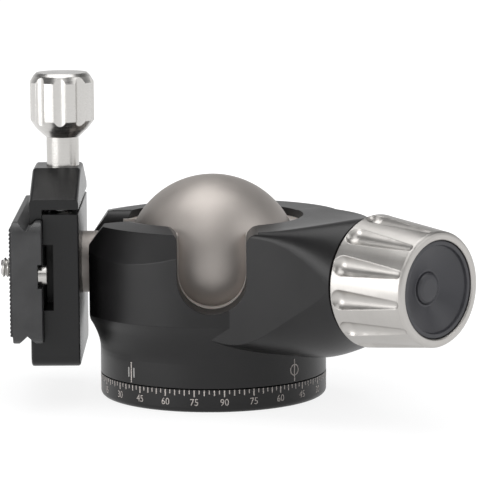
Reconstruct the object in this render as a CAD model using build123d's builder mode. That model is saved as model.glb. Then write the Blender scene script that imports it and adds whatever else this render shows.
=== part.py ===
"""Low-profile tripod ball head: 55 mm ball, panning base, screw clamp and quick-release plate.

Millimetres. +Z is up, the origin is the centre of the base's bottom face, and the ball's stem
lies along -X, dropped into the side notch of the housing. The main locking knob points along
arm_azimuth.
"""

import os
from math import asin, atan2, cos, degrees, radians, sin, sqrt, tan

from build123d import *

os.makedirs("parts", exist_ok=True)

# ---- fits ------------------------------------------------------------------------------
running_fit = 0.05      # radial play of a shaft that turns or slides in its bore
seat_gap = 0.02         # between pieces of one body that are pressed or screwed together
moving_gap = 0.3        # between faces of different bodies that pass each other

# ---- ball and stem ---------------------------------------------------------------------
ball_r = 27.5
ball_z = 42.2
stem_r = 9.7
stem_fillet = 0.9       # blend between the ball and its stem
stem_seat = 2.0         # how far the stem's end sits in the clamp's back

# ---- panning base ----------------------------------------------------------------------
base_r = 35.8
base_h = 7.2
base_edge = 1.6         # rounding of the bottom edge
pan_gap = 0.35          # visible line between the base and the housing
hub_r = 16.0
hub_top = 13.6
insert_r = 7.4
insert_h = 12.0
tripod_thread_r = 3.97  # wall of a 3/8"-16 tapped hole
retainer_r = 19.0
retainer_inner_r = 9.2
retainer_h = 1.5
retainer_screw_pcr = 12.4
retainer_screw_r = 1.25
retainer_screw_head_r = 2.4
retainer_screw_reach = 4.2
washer_inner_r = 20.0

# ---- housing ---------------------------------------------------------------------------
collar_r = 41.3         # upper, wider part of the housing
collar_low_z = 27.5     # where the collar's wall starts, above the S-curve
skirt_top_z = 15.0      # where the straight skirt over the base ends
top_z = 56.7
rim_r = ball_r + 1.3    # opening around the ball
socket_r = ball_r + 3.0
liner_top_z = 54.3
plate_seat_z = 15.6     # ledge that the bearing plate is screwed against
plate_r = base_r - 2.8
notch_r = 10.6
liner_notch_r = 10.4    # the liner shows as a thin line around each notch
notch_corner = 3.5
facet_base_z = 45.8     # lowest point of the slanted facet between the two notches
facet_offset = 10.7     # how far the facet's cone is set off the ball's axis
facet_slope = 0.4
shoulder_fall = 1.2     # height lost by the top face from the rim to the facet
crown_r = 37.8          # where the top face starts to fall towards the back
crown_offset = 3.5      # how far the crown's circle is set off the ball's axis, along X
crown_slope = 0.18
stem_bevel_top = (-33.6, 56.0)     # X and Z of the bevel over the stem's notch
stem_bevel_low = (-38.5, 49.3)      # also where the flat facing the clamp lies

# ---- arm and main lock -----------------------------------------------------------------
arm_azimuth = -45.0
arm_z = 43.0
arm_end = 68.7
arm_end_r = 19.4
# section: distance from the axis, near and far half width, top, upper corner radius,
# height where each side turns under, bottom
arm_sections = (
    (12.0, rim_r - 2.3, collar_r - 2.3, top_z + 0.15, 1.0, 26.0, 15.0),
    (24.0, 28.2, collar_r - 5.4, top_z + 0.15, 1.0, 24.2, 15.6),
    (36.0, 24.0, 32.0, top_z + 0.2, 1.2, 22.5, 16.3),
    (46.0, 21.2, 25.0, 57.85, 3.0, 27.0, 16.6),
    (57.0, 19.9, 20.6, 60.0, 9.0, 34.0, 19.0),
    (arm_end, arm_end_r, arm_end_r, arm_z + arm_end_r, arm_end_r - 0.1, arm_z, arm_z - arm_end_r),
)
arm_bore_r = 8.8
key_width = 3.0         # key that stops the pusher from turning, and its slot
key_reach = 9.8
bush_bore_r = 13.0
bush_start = 58.0
shoe_back = 36.0
disc_count = 4          # disc springs between the pusher and the shoe
disc_pitch = 1.35
disc_t = 0.9
disc_cone = 0.38
disc_inner_r = 3.6
disc_outer_r = 8.3
pusher_start = 41.5
pusher_end = 52.5
spindle_thread_r = 4.0
spindle_start = 42.0
spindle_r = 5.0
spindle_collar_r = 7.5
spindle_collar_start = 55.4
spindle_bore_r = 1.65
dial_rod_r = 1.6
dial_rod_start = 37.2
thrust_washer_r = 12.0

knob_back = arm_end + 0.8
knob_front = knob_back + 26.0
knob_back_r = 20.3
knob_front_r = 17.3
knob_rim_inner_r = 14.8
knob_floor = 6.5        # thickness of the knob behind the nut
knob_cavity = knob_back + knob_floor
knob_cavity_r = 11.5
knob_nut_flats = 15.0
knob_nut_h = 4.4
spindle_end = knob_cavity + knob_nut_h + 0.6
dial_hub = 2.2          # how far the dial's hub stands into the cavity
dial_back = knob_cavity + knob_nut_h + dial_hub + 1.4
knob_pocket = dial_back - 0.4   # floor of the pocket that the dial turns in
knob_flutes = 12
flute_phase = 9.1
flute_start = knob_back + 4.1   # centre of each flute's round end
flute_end = knob_front - 1.9
flute_wide_r = 3.6
flute_thin_r = 2.0
flute_depth = 2.0
flute_thin_depth = 0.45
dial_r = 14.72
dial_front = knob_front - 0.6
dish_edge_r = 13.3
dish_step = 1.0         # drop inside the dial's flat ring
dish_bottom = dial_front - 4.2
dish_bottom_r = 5.6
dial_button_r = 4.9
dial_button_seat = dish_bottom - 1.6
dial_button_front = dish_bottom + 1.0
dial_hub_r = 3.8
dial_relief_r = 12.4
dial_rod_end = dial_button_seat - 0.8

# ---- pan lock at the back --------------------------------------------------------------
pan_axis_z = 10.9
pan_screw_r = 2.0
pan_shoe_r = 2.2
pan_shoe_end = 22.6
pan_shoe_bore_end = 24.0
pan_knob_start = base_r + 1.4
pan_screw_end = pan_knob_start + 9.8
pan_knob_length = 14.0
pan_knob_r = 6.6
pan_knob_flutes = 9
pan_flute_r = 1.9
pan_flute_depth = 0.7

# ---- clamp -----------------------------------------------------------------------------
clamp_back_x = -40.95
clamp_floor_x = -52.0
clamp_face_x = -56.1
clamp_half_y = 28.0
clamp_low_z = 13.1
clamp_top_z = 73.0
clamp_split_z = 60.9    # top of the fixed part
jaw_low_z = 62.4
jaw_shoulder_z = 65.5   # height of the jaw at its two ends
jaw_flat_half = 8.0
jaw_edge = 1.2
jaw_travel = 3.5
hook_tip = 0.5          # blunt end of each 45 degree hook
channel_half = 10.2
channel_depth = 3.0
channel_z = 41.3
boss_half = 12.0        # solid floor left around the centre bolt, along Y
clamp_edge = 0.8
clamp_corner_r = 4.0    # rounding of the clamp's lower corners, seen from the ball
guide_pin_r = 2.0
guide_pin_x = -46.7
guide_pin_y = 19.0
guide_pin_low_z = 48.0
guide_pin_top_z = 66.8
spring_pocket_r = 3.6
spring_low_z = 52.2
jaw_spring_r = 2.9      # mean radius
jaw_spring_wire_r = 0.4
jaw_spring_turns = 5
clamp_screw_x = -46.95
clamp_screw_r = 2.5
clamp_screw_low_z = 51.0
clamp_shaft_r = 5.12
clamp_washer_r = 5.2
clamp_washer_t = 1.1
clamp_knob_low_z = 82.1     # where the cone under the knob meets the shaft
clamp_knob_neck = 2.4       # height of the neck over it
clamp_knob_cone = 2.9       # height of the cone between the neck and the fluted body
clamp_knob_length = 20.2
clamp_knob_bevel = 2.9      # height of the bevel round the top
clamp_knob_bore = 12.1      # how deep the shaft's bore runs into the knob
clamp_knob_r = 10.05
clamp_knob_end_r = 8.0
clamp_knob_flutes = 9
clamp_flute_r = 2.5
clamp_flute_depth = 1.0
clamp_flute_azimuth = -91.2
bolt_r = 3.0
bolt_head_r = 5.0
bolt_head_h = 4.0
bolt_end_x = -26.0

# ---- quick-release plate ---------------------------------------------------------------
plate_z = 40.4
plate_half_z = 19.0
plate_half_y = 35.0
plate_bottom_x = clamp_floor_x - 0.1
plate_top_x = -61.2
groove_x = -56.7        # bottom of the V along each long edge
groove_depth = 2.8
plate_corner = 0.5
plate_round = 4.0       # rounding of the plate's four corners, seen from the camera
pad_t = 0.9
pad_half_z = 17.0
pad_half_y = 33.5
pad_ribs = 27
pad_rib_depth = 0.35
camera_screw_r = 3.175  # 1/4"-20 tripod screw
camera_screw_out = 4.9
camera_neck_r = 2.4
camera_head_r = 8.5
camera_head_h = 1.8
stop_y = 31.6
stop_r = 3.0
stop_out = 1.7
stop_shank_r = 1.5
stop_z = 42.7
stop_notch_half = 3.7
stop_notch_depth = 1.2
stop_notch_y = 27.6
dovetail_gap = 0.1

# ---- places derived from the sizes above ----------------------------------------------
arm_dir = Vector(cos(radians(arm_azimuth)), sin(radians(arm_azimuth)), 0)
arm_side = Vector(-arm_dir.Y, arm_dir.X, 0)
arm_plane = Plane(origin=(0, 0, arm_z), x_dir=arm_dir, z_dir=(arm_dir.Y, -arm_dir.X, 0))
arm_axis = Axis((0, 0, arm_z), arm_dir)
socket_gap = 0.1        # between the ball and its bearing surfaces
housing_low_z = base_h + pan_gap
liner_low_z = 26.0
cup_top_z = liner_low_z - moving_gap
cup_low_z = 18.2
spring_inner_r = 22.0
spring_outer_r = socket_r - 0.7
plate_low_z = housing_low_z + 0.5
above = 200.0           # reach of a cut that has to clear everything


def across_arm(distance):
    """Plane square to the arm's axis, its own Y up and its X to the arm's far side."""
    centre = arm_dir * distance
    return Plane(origin=(centre.X, centre.Y, arm_z), x_dir=arm_side, z_dir=arm_dir)


def behind(distance):
    """Plane square to +Y through the pan lock's axis."""
    return Plane(origin=(0, distance, pan_axis_z), x_dir=(-1, 0, 0), z_dir=(0, 1, 0))


def towards_clamp(x):
    """Plane square to -X, its own X along +Y's mirror and its Y up from the base."""
    return Plane(origin=(x, 0, 0), x_dir=(0, -1, 0), z_dir=(-1, 0, 0))


def finish(part, name):
    """Label a piece and write it."""
    part.label = name
    export_step(part, f"parts/{name}.step")


# ======================================================================================
# Panning base
# ======================================================================================
with BuildPart() as pan_base:
    with BuildSketch(Plane.XZ):
        with BuildLine():
            Polyline(
                (insert_r + seat_gap, 0),
                (base_r, 0),
                (base_r, base_h),
                (hub_r, base_h),
                (hub_r, hub_top),
                (insert_r + seat_gap, hub_top),
                close=True,
            )
        make_face()
    revolve(axis=Axis.Z)
    fillet(pan_base.edges().group_by(Axis.Z)[0].sort_by(SortBy.RADIUS)[-1], base_edge)
    # tapped holes for the retainer's screws
    with PolarLocations(retainer_screw_pcr, 3):
        with Locations((0, 0, hub_top)):
            Hole(retainer_screw_r + seat_gap, depth=4.6)
finish(pan_base.part, "pan_base")

with BuildPart() as thread_insert:
    with BuildSketch(Plane.XZ):
        with BuildLine():
            Polyline(
                (tripod_thread_r, 0),
                (insert_r, 0),
                (insert_r, insert_h),
                (tripod_thread_r, insert_h),
                close=True,
            )
        make_face()
    revolve(axis=Axis.Z)
finish(thread_insert.part, "thread_insert")

# low-friction ring between the base and the bearing plate
with BuildPart() as pan_washer:
    with BuildSketch(Plane.XY.offset(base_h + seat_gap)):
        Circle(plate_r - 3.0)
        Circle(washer_inner_r, mode=Mode.SUBTRACT)
    extrude(amount=plate_low_z - base_h - 2 * seat_gap)
finish(pan_washer.part, "pan_washer")

retainer_z = hub_top + seat_gap
with BuildPart() as pan_retainer:
    with BuildSketch(Plane.XY.offset(retainer_z)):
        Circle(retainer_r)
        Circle(retainer_inner_r, mode=Mode.SUBTRACT)
    extrude(amount=retainer_h)
    with PolarLocations(retainer_screw_pcr, 3):
        with Locations((0, 0, retainer_z + retainer_h)):
            CounterSinkHole(retainer_screw_r + 0.1, retainer_screw_head_r + 0.1, counter_sink_angle=90)
finish(pan_retainer.part, "pan_retainer")

head_h = retainer_screw_head_r - retainer_screw_r
with BuildPart() as retainer_screws:
    with BuildSketch(Plane.XZ) as screw_profile:
        with BuildLine():
            Polyline(
                (retainer_screw_pcr, retainer_z - retainer_screw_reach),
                (retainer_screw_pcr + retainer_screw_r, retainer_z - retainer_screw_reach),
                (retainer_screw_pcr + retainer_screw_r, retainer_z + retainer_h - head_h - 0.05),
                (retainer_screw_pcr + retainer_screw_head_r, retainer_z + retainer_h - 0.05),
                (retainer_screw_pcr, retainer_z + retainer_h - 0.05),
                close=True,
            )
        make_face()
    revolve(axis=Axis((retainer_screw_pcr, 0, 0), (0, 0, 1)))
    with BuildSketch(Plane.XY.offset(retainer_z + retainer_h - 0.05)):
        with Locations((retainer_screw_pcr, 0)):
            RegularPolygon(0.9, 6)
    extrude(amount=-0.7, mode=Mode.SUBTRACT)
    first_screw = retainer_screws.part
    for turn in (120, 240):
        add(first_screw.rotate(Axis.Z, turn))
finish(retainer_screws.part, "retainer_screws")

# ======================================================================================
# Housing
# ======================================================================================
facet_r = collar_r + facet_offset
facet_top_z = top_z - shoulder_fall
facet_top_r = facet_r - facet_slope * (facet_top_z - facet_base_z)
facet_centre = Vector(facet_offset / sqrt(2), facet_offset / sqrt(2), 0)


def notch_cutter(facing, radius, corner_z, start, stop):
    """U-shaped cutter, open at the top, that runs outward from the ball along facing."""
    side = Vector(0, 0, 1).cross(facing)
    plane = Plane(origin=facing * start + Vector(0, 0, ball_z), x_dir=side, z_dir=facing)
    corner_y = corner_z - ball_z
    flare = radius + notch_corner
    with BuildPart() as cutter:
        with BuildSketch(plane):
            with BuildLine():
                RadiusArc((-radius, 0), (radius, 0), -radius)
                Line((radius, 0), (radius, corner_y - notch_corner))
                RadiusArc((radius, corner_y - notch_corner), (flare, corner_y), notch_corner)
                Line((flare, corner_y), (flare, above / 4))
                Line((flare, above / 4), (-flare, above / 4))
                Line((-flare, above / 4), (-flare, corner_y))
                RadiusArc((-flare, corner_y), (-radius, corner_y - notch_corner), notch_corner)
                Line((-radius, corner_y - notch_corner), (-radius, 0))
            make_face()
        extrude(amount=stop - start)
    return cutter.part


front = Vector(0, -1, 0)
left = Vector(-1, 0, 0)

with BuildPart() as housing:
    # skirt, S-curve and collar
    with BuildSketch(Plane.XZ):
        with BuildLine():
            step = collar_r - base_r
            rise = collar_low_z - skirt_top_z
            Line((base_r, housing_low_z), (base_r, skirt_top_z))
            Spline(
                (base_r, skirt_top_z),
                (base_r + 0.15 * step, skirt_top_z + 0.36 * rise),
                (base_r + 0.47 * step, skirt_top_z + 0.67 * rise),
                (collar_r, collar_low_z),
                tangents=((0, 1), (0.75, 1)),
            )
            Line((collar_r, collar_low_z), (collar_r, top_z))
            Line((collar_r, top_z), (0, top_z))
            Line((0, top_z), (0, housing_low_z))
            Line((0, housing_low_z), (base_r, housing_low_z))
        make_face()
    revolve(axis=Axis.Z)

    # slanted facet and falling shoulder, cut by a cone set off towards the far right
    with BuildSketch(Plane(origin=facet_centre, x_dir=(1, 0, 0), z_dir=(0, -1, 0))):
        with BuildLine():
            Polyline(
                (facet_r, facet_base_z),
                (facet_top_r, facet_top_z),
                (facet_top_r - shoulder_fall / 0.15, top_z),
                (facet_top_r - shoulder_fall / 0.15, top_z + 5),
                (facet_r + 25, top_z + 5),
                (facet_r + 25, facet_base_z),
                close=True,
            )
        make_face()
    revolve(axis=Axis(facet_centre, (0, 0, 1)), mode=Mode.SUBTRACT)

    # top face falling outward beyond the crown
    crown_centre = Vector(crown_offset, 0, 0)
    with BuildSketch(Plane(origin=crown_centre, x_dir=(1, 0, 0), z_dir=(0, -1, 0))):
        with BuildLine():
            Polyline(
                (crown_r, top_z),
                (2 * collar_r, top_z - crown_slope * (2 * collar_r - crown_r)),
                (2 * collar_r, top_z + 5),
                (crown_r, top_z + 5),
                close=True,
            )
        make_face()
    revolve(axis=Axis(crown_centre, (0, 0, 1)), mode=Mode.SUBTRACT)

    # flat facing the clamp, and the bevel above it
    with BuildSketch(Plane.XZ):
        with BuildLine():
            Polyline(
                stem_bevel_top,
                stem_bevel_low,
                (stem_bevel_low[0], 0),
                (-collar_r - 8, 0),
                (-collar_r - 8, top_z + 8),
                (stem_bevel_top[0], top_z + 8),
                close=True,
            )
        make_face()
    extrude(amount=collar_r + 5, both=True, mode=Mode.SUBTRACT)

    # arm: a horn from the collar to the round end face behind the knob
    for distance, near, far, top, r_top, turn_under, bottom in arm_sections:
        high, side, low = top - arm_z, turn_under - arm_z, bottom - arm_z
        with BuildSketch(across_arm(distance)):
            with BuildLine():
                Line((-near + r_top, high), (far - r_top, high))
                RadiusArc((far - r_top, high), (far, high - r_top), r_top)
                Line((far, high - r_top), (far, side))
                ThreePointArc((far, side), ((far - near) / 2, low), (-near, side))
                Line((-near, side), (-near, high - r_top))
                RadiusArc((-near, high - r_top), (-near + r_top, high), r_top)
            make_face()
    loft()

    # socket for the ball and its bearings, with a lip over the liner
    with BuildSketch(Plane.XZ):
        with BuildLine():
            Polyline(
                (0, housing_low_z - 1),
                (plate_r, housing_low_z - 1),
                (plate_r, plate_seat_z),
                (socket_r, plate_seat_z),
                (socket_r, liner_top_z),
                (rim_r, liner_top_z),
                (rim_r, top_z + 12),
                (0, top_z + 12),
                close=True,
            )
        make_face()
    revolve(axis=Axis.Z, mode=Mode.SUBTRACT)

    # the two drop notches
    add(notch_cutter(front, notch_r, top_z, rim_r - 6, collar_r + 12), mode=Mode.SUBTRACT)
    add(notch_cutter(left, notch_r, top_z, rim_r - 6, collar_r + 12), mode=Mode.SUBTRACT)

    # bore along the arm for the shoe, the pusher and the bush, with the pusher's key slot
    with BuildSketch(across_arm(socket_r - 6)):
        Circle(arm_bore_r)
    extrude(amount=bush_start - socket_r + 6, mode=Mode.SUBTRACT)
    with BuildSketch(across_arm(shoe_back)):
        with Locations((0, -key_reach / 2)):
            Rectangle(key_width + 2 * running_fit, key_reach + 2 * running_fit)
    extrude(amount=bush_start - shoe_back, mode=Mode.SUBTRACT)
    with BuildSketch(across_arm(bush_start)):
        Circle(bush_bore_r)
    extrude(amount=arm_end - bush_start + 1, mode=Mode.SUBTRACT)

    # way in for the pan lock's screw
    with BuildSketch(behind(plate_r - 2)):
        Circle(pan_screw_r + 0.3)
    extrude(amount=base_r, mode=Mode.SUBTRACT)
finish(housing.part, "housing")

# plate that carries the housing on the base; the housing is screwed down onto it
with BuildPart() as bearing_plate:
    ledge_z = retainer_z - running_fit
    with BuildSketch(Plane.XZ):
        with BuildLine():
            Polyline(
                (hub_r + running_fit, plate_low_z),
                (plate_r - seat_gap, plate_low_z),
                (plate_r - seat_gap, plate_seat_z - seat_gap),
                (retainer_r + moving_gap, plate_seat_z - seat_gap),
                (retainer_r + moving_gap, ledge_z),
                (hub_r + running_fit, ledge_z),
                close=True,
            )
        make_face()
    revolve(axis=Axis.Z)
    # spanner holes in the underside
    with PolarLocations(plate_r - 1.6, 4, start_angle=45):
        with Locations(Location((0, 0, plate_low_z), (180, 0, 0))):
            Hole(0.8, depth=2.4)
    # bore for the brake plug, and the tapped hole behind it
    with BuildSketch(behind(hub_r - 2)):
        Circle(pan_shoe_r + running_fit)
    extrude(amount=pan_shoe_bore_end - hub_r + 2, mode=Mode.SUBTRACT)
    with BuildSketch(behind(pan_shoe_bore_end)):
        Circle(pan_screw_r + running_fit)
    extrude(amount=base_r, mode=Mode.SUBTRACT)
finish(bearing_plate.part, "bearing_plate")

# coned spring that lifts the cup against the ball
with BuildPart() as cup_spring:
    with BuildSketch(Plane.XZ):
        with BuildLine():
            Polyline(
                (spring_inner_r, plate_seat_z + seat_gap),
                (spring_outer_r, cup_low_z - 1.2),
                (spring_outer_r, cup_low_z - seat_gap),
                (spring_outer_r - 1.2, cup_low_z - seat_gap),
                (spring_inner_r, plate_seat_z + 1.2),
                close=True,
            )
        make_face()
    revolve(axis=Axis.Z)
finish(cup_spring.part, "cup_spring")

bearing_r = ball_r + socket_gap


def bearing_ring(low_z, high_z):
    """Ring inside the socket whose bore follows the ball."""
    with BuildPart() as ring:
        with BuildSketch(Plane.XY.offset(low_z)):
            Circle(socket_r - running_fit)
        extrude(amount=high_z - low_z)
        with Locations((0, 0, ball_z)):
            Sphere(bearing_r, mode=Mode.SUBTRACT)
    return ring.part


finish(bearing_ring(cup_low_z, cup_top_z), "ball_cup")

with BuildPart() as liner_ring:
    add(bearing_ring(liner_low_z, liner_top_z - seat_gap))
    for facing in (front, left):
        add(notch_cutter(facing, liner_notch_r, top_z, 15, socket_r + 5), mode=Mode.SUBTRACT)
    # window for the brake shoe
    with BuildSketch(across_arm(20)):
        Circle(arm_bore_r)
    extrude(amount=socket_r - 18, mode=Mode.SUBTRACT)
finish(liner_ring.part, "liner_ring")

with BuildPart() as arm_bush:
    with BuildSketch(across_arm(bush_start + seat_gap)):
        Circle(bush_bore_r - seat_gap)
        Circle(spindle_r + running_fit, mode=Mode.SUBTRACT)
    extrude(amount=arm_end - bush_start - 0.12)
finish(arm_bush.part, "arm_bush")

# ======================================================================================
# Pan lock
# ======================================================================================
with BuildPart() as pan_brake_plug:
    with BuildSketch(behind(hub_r - 3)):
        Circle(pan_shoe_r)
    extrude(amount=pan_shoe_end - hub_r + 3)
    # end that grips the hub
    with Locations((0, 0, pan_axis_z)):
        Cylinder(hub_r + running_fit, 20, mode=Mode.SUBTRACT)
finish(pan_brake_plug.part, "pan_brake_plug")

with BuildPart() as pan_lock_screw:
    with BuildSketch(behind(pan_shoe_end + seat_gap)):
        Circle(pan_screw_r)
    extrude(amount=pan_screw_end - pan_shoe_end)
    chamfer(pan_lock_screw.edges().group_by(Axis.Y)[0], 0.3)
finish(pan_lock_screw.part, "pan_lock_screw")


def fluted_knob(plane, outline, bore_r, bore_length, flutes, flute_radius, flute_centre_r, phase):
    """Knob turned to outline (height, radius) along plane's normal, with straight flutes."""
    length = outline[-1][0]
    with BuildPart() as knob:
        with BuildSketch(Plane(origin=plane.origin, x_dir=plane.z_dir, z_dir=-plane.y_dir)):
            with BuildLine():
                Polyline((0, 0), *outline, (length, 0), close=True)
            make_face()
        revolve(axis=Axis(plane.origin, plane.z_dir))
        with BuildSketch(plane):
            with PolarLocations(flute_centre_r, flutes, start_angle=phase):
                Circle(flute_radius)
        extrude(amount=length, mode=Mode.SUBTRACT)
        with BuildSketch(plane):
            Circle(bore_r)
        extrude(amount=bore_length, mode=Mode.SUBTRACT)
    return knob.part


pan_knob_outline = (
    (0, 4.2),
    (2.6, 4.2),
    (4.0, pan_knob_r - 0.9),
    (4.9, pan_knob_r),
    (pan_knob_length - 1.2, pan_knob_r),
    (pan_knob_length, pan_knob_r - 1.2),
)
pan_lock_knob = fluted_knob(
    behind(pan_knob_start),
    pan_knob_outline,
    pan_screw_r + seat_gap,
    pan_screw_end - pan_knob_start + 0.1,
    pan_knob_flutes,
    pan_flute_r,
    pan_knob_r + pan_flute_r - pan_flute_depth,
    90,
)
finish(pan_lock_knob, "pan_lock_knob")

# ======================================================================================
# Main lock
# ======================================================================================
with BuildPart() as brake_shoe:
    with BuildSketch(across_arm(20)):
        Circle(arm_bore_r - running_fit)
    extrude(amount=shoe_back - 20)
    with Locations((0, 0, ball_z)):
        Sphere(bearing_r, mode=Mode.SUBTRACT)
    chamfer(brake_shoe.faces().sort_by(arm_axis)[-1].edges(), 0.6)
finish(brake_shoe.part, "brake_shoe")


def turned(outline):
    """Piece turned about the arm's axis from (distance, radius) points."""
    with BuildPart() as piece:
        with BuildSketch(arm_plane):
            with BuildLine():
                Polyline(*outline, close=True)
            make_face()
        revolve(axis=arm_axis)
    return piece.part


with BuildPart() as disc_springs:
    for number in range(disc_count):
        low = shoe_back + 0.03 + number * disc_pitch
        inner, outer = (low + disc_cone, low) if number % 2 else (low, low + disc_cone)
        add(
            turned(
                (
                    (inner, disc_inner_r),
                    (inner + disc_t, disc_inner_r),
                    (outer + disc_t, disc_outer_r),
                    (outer, disc_outer_r),
                )
            )
        )
finish(disc_springs.part, "disc_springs")

with BuildPart() as lock_pusher:
    with BuildSketch(across_arm(pusher_start)):
        Circle(arm_bore_r - running_fit)
        with Locations((0, -key_reach / 2)):
            Rectangle(key_width, key_reach)
    extrude(amount=pusher_end - pusher_start)
    with BuildSketch(across_arm(pusher_start)):
        Circle(spindle_thread_r + running_fit)
    extrude(amount=pusher_end - pusher_start, mode=Mode.SUBTRACT)
finish(lock_pusher.part, "lock_pusher")

finish(
    turned(
        (
            (spindle_start, spindle_bore_r),
            (spindle_start, spindle_thread_r - 0.5),
            (spindle_start + 0.5, spindle_thread_r),
            (spindle_collar_start, spindle_thread_r),
            (spindle_collar_start, spindle_collar_r),
            (bush_start - 0.1, spindle_collar_r),
            (bush_start - 0.1, spindle_r),
            (spindle_end - 0.6, spindle_r),
            (spindle_end, spindle_r - 0.6),
            (spindle_end, spindle_bore_r),
        )
    ),
    "lock_spindle",
)
finish(
    turned(
        (
            (arm_end + 0.1, spindle_r + seat_gap),
            (arm_end + 0.1, thrust_washer_r),
            (knob_back - seat_gap, thrust_washer_r),
            (knob_back - seat_gap, spindle_r + seat_gap),
        )
    ),
    "thrust_washer",
)

with BuildPart() as knob_nut:
    with BuildSketch(across_arm(knob_cavity + seat_gap)):
        RegularPolygon(knob_nut_flats / 2, 6, major_radius=False)
        Circle(spindle_r + seat_gap, mode=Mode.SUBTRACT)
    extrude(amount=knob_nut_h)
finish(knob_nut.part, "knob_nut")


def knob_radius(distance):
    """Radius of the main knob's grip at a distance along the arm."""
    share = (distance - knob_back) / (knob_front - knob_back)
    return knob_back_r + share * (knob_front_r - knob_back_r)


with BuildPart() as flute_cutter:
    wide = Vector(flute_start, knob_radius(flute_start) + flute_wide_r - flute_depth)
    thin = Vector(flute_end, knob_radius(flute_end) + flute_thin_r - flute_thin_depth)
    run = thin - wide
    along = run.normalized()
    out = Vector(-along.Y, along.X)
    lean = asin((flute_wide_r - flute_thin_r) / run.length)
    tangent_dir = along * sin(lean) + out * cos(lean)
    middle_dir = along * sin(lean / 2 - radians(45)) + out * cos(lean / 2 - radians(45))
    thin_dir = along * sin(lean / 2 + radians(45)) + out * cos(lean / 2 + radians(45))
    with BuildSketch(arm_plane):
        with BuildLine():
            ThreePointArc(
                wide - along * flute_wide_r,
                wide + middle_dir * flute_wide_r,
                wide + tangent_dir * flute_wide_r,
            )
            Line(wide + tangent_dir * flute_wide_r, thin + tangent_dir * flute_thin_r)
            ThreePointArc(
                thin + tangent_dir * flute_thin_r,
                thin + thin_dir * flute_thin_r,
                thin + along * flute_thin_r,
            )
            Line(thin + along * flute_thin_r, wide - along * flute_wide_r)
        make_face()
    start = arm_plane.from_local_coords(wide)
    end = arm_plane.from_local_coords(thin)
    revolve(axis=Axis(start, end - start))

with BuildPart() as main_knob:
    edge = 0.9
    add(
        turned(
            (
                (knob_back, spindle_r + seat_gap),
                (knob_back, knob_back_r - edge),
                (knob_back + edge * 0.8, knob_radius(knob_back + edge * 0.8)),
                (knob_front - 0.9, knob_radius(knob_front - 0.9)),
                (knob_front - 0.25, knob_front_r - 0.3),
                (knob_front, knob_front_r - 0.9),
                (knob_front, knob_rim_inner_r + 0.35),
                (knob_front - 0.35, knob_rim_inner_r),
                (knob_pocket, knob_rim_inner_r),
                (knob_pocket, knob_cavity_r),
                (knob_cavity, knob_cavity_r),
                (knob_cavity, spindle_r + seat_gap),
            )
        )
    )
    for number in range(knob_flutes):
        turn = flute_phase + number * 360 / knob_flutes
        add(flute_cutter.part.rotate(arm_axis, turn), mode=Mode.SUBTRACT)
finish(main_knob.part, "main_knob")

finish(
    turned(
        (
            (dial_back, dial_r),
            (dial_front - 0.3, dial_r),
            (dial_front, dial_r - 0.3),
            (dial_front, dish_edge_r),
            (dial_front - dish_step, dish_edge_r - 0.3),
            (dish_bottom, dish_bottom_r),
            (dish_bottom, dial_button_r + seat_gap),
            (dial_button_seat, dial_button_r + seat_gap),
            (dial_button_seat, dial_rod_r + seat_gap),
            (dial_back - dial_hub, dial_rod_r + seat_gap),
            (dial_back - dial_hub, dial_hub_r),
            (dial_back + 2.0, dial_hub_r),
            (dial_back + 2.0, dial_relief_r),
            (dial_back, dial_relief_r),
        )
    ),
    "friction_dial",
)
finish(
    turned(
        (
            (dial_rod_start, 0),
            (dial_rod_start, dial_rod_r),
            (dial_rod_end, dial_rod_r),
            (dial_rod_end, 0),
        )
    ),
    "dial_rod",
)
finish(
    turned(
        (
            (dial_button_seat + seat_gap, 0),
            (dial_button_seat + seat_gap, dial_button_r),
            (dial_button_front - 1.2, dial_button_r),
            (dial_button_front - 0.6, dial_button_r - 0.25),
            (dial_button_front - 0.2, dial_button_r - 0.9),
            (dial_button_front, dial_button_r - 2.1),
            (dial_button_front, 0),
        )
    ),
    "dial_button",
)

# ======================================================================================
# Ball, stem and clamp
# ======================================================================================
stem_end_x = clamp_back_x - stem_seat
with BuildPart() as ball:
    with Locations((0, 0, ball_z)):
        Sphere(ball_r)
    with BuildSketch(towards_clamp(-15)):
        with Locations((0, ball_z)):
            Circle(stem_r)
    extrude(amount=-15 - stem_end_x - seat_gap)
    stem_circles = ball.edges().filter_by(GeomType.CIRCLE).filter_by(lambda e: e.radius < stem_r + 1)
    fillet(stem_circles.sort_by(Axis.X)[-1], stem_fillet)
    with BuildSketch(towards_clamp(bolt_end_x + 1)):
        with Locations((0, ball_z)):
            Circle(bolt_r + seat_gap)
    extrude(amount=stem_r * 3, mode=Mode.SUBTRACT)
finish(ball.part, "ball")

bolt_head_x = clamp_floor_x + 0.6
with BuildPart() as clamp_bolt:
    with BuildSketch(towards_clamp(bolt_end_x)):
        with Locations((0, ball_z)):
            Circle(bolt_r)
    extrude(amount=bolt_end_x - bolt_head_x - bolt_head_h + 1)
    with BuildSketch(towards_clamp(bolt_head_x + bolt_head_h)):
        with Locations((0, ball_z)):
            Circle(bolt_head_r)
    extrude(amount=bolt_head_h)
    chamfer(clamp_bolt.edges().sort_by(Axis.X)[0], 0.3)
    with BuildSketch(towards_clamp(bolt_head_x)):
        with Locations((0, ball_z)):
            RegularPolygon(2.5, 6, major_radius=False)
    extrude(amount=-2.4, mode=Mode.SUBTRACT)
finish(clamp_bolt.part, "clamp_bolt")

plate_low_edge = plate_z - plate_half_z
plate_high_edge = plate_z + plate_half_z
flange_x = groove_x + groove_depth      # top of the plate's lower flange
wall_gap = dovetail_gap
hook_start_x = flange_x - wall_gap
hook_run = hook_start_x - clamp_face_x - hook_tip

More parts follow.
